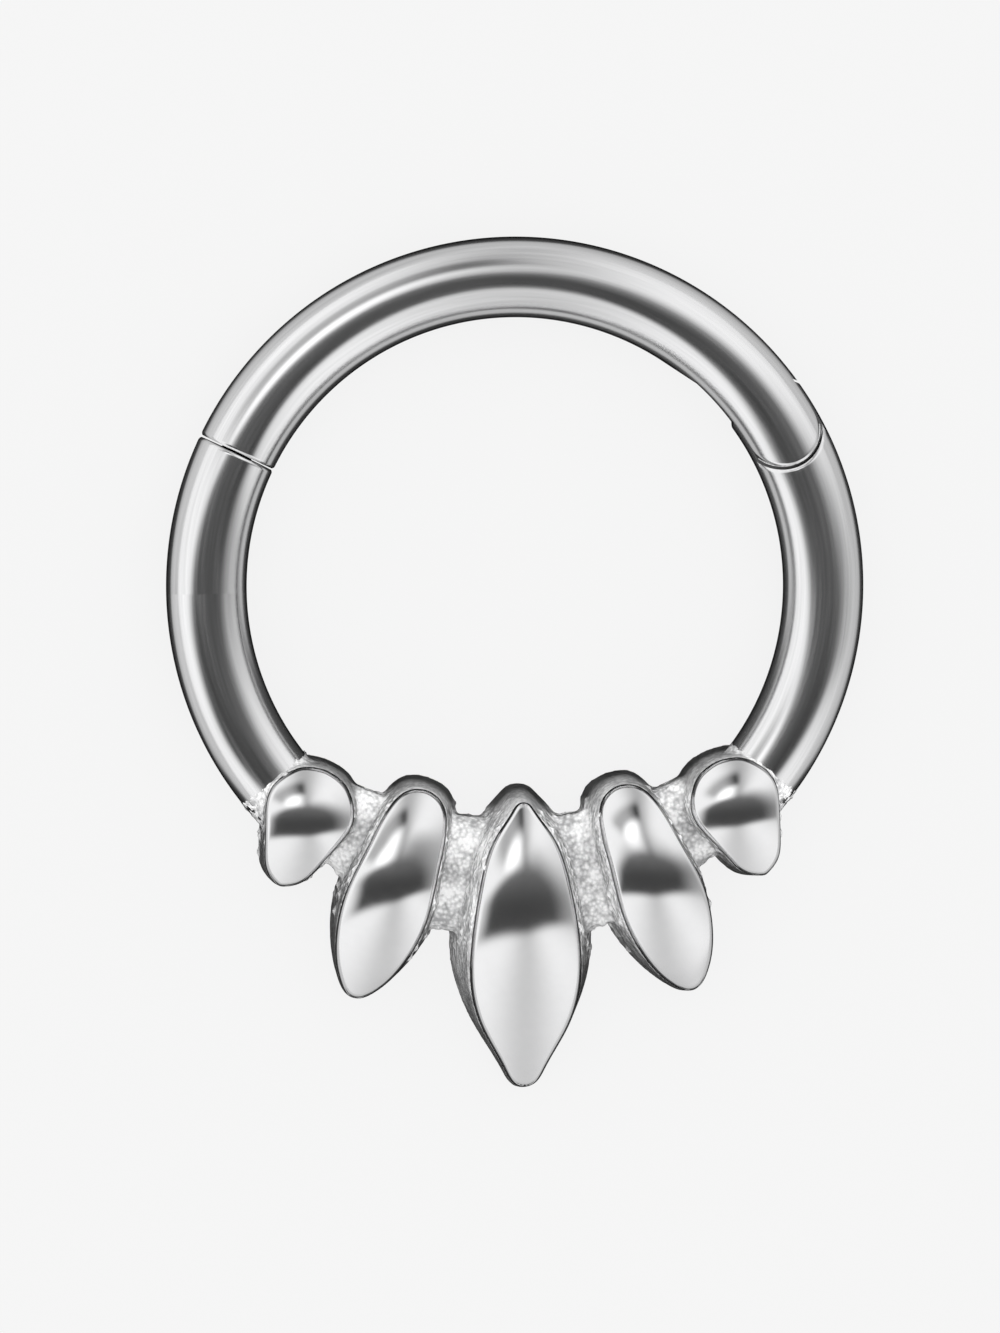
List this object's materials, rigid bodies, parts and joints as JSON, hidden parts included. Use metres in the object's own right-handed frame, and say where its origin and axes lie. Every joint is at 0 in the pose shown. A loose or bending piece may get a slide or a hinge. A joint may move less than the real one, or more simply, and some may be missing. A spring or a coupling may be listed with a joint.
{
  "type": "hinged segment ring",
  "caption": "Hinged ring of round polished wire with a fan of seed-shaped domes on a rough cast web, a knuckle hinge at one side and a flush click closure at the other.",
  "frame": {"origin": "on the axis of the round hoop, level with the flat back the ring lies on", "axes": "+Y from the seeds to the top of the hoop, +X to the hinge side, +Z out of the front of the seeds, along the hoop's axis"},
  "size_m": [0.0104, 0.0127, 0.0021],
  "materials": {
    "cast_steel": "stainless steel, domes and wire mirror polished, web rough as cast",
    "polished_steel": "mirror polished stainless steel",
    "pin_steel": "bright drawn stainless steel"
  },
  "bodies": {
    "ring": {"ring_body": "cast_steel", "click_stud": "pin_steel"},
    "segment": {"hinge_segment": "polished_steel", "hinge_pin": "pin_steel"}
  },
  "joints": [
    {"name": "segment_hinge", "type": "hinge", "parent": "ring", "child": "segment", "pos_m": [0.00398, 0.0023, 0.0006], "axis": [0, 0, -1], "range_deg": [0, 65]}
  ]
}
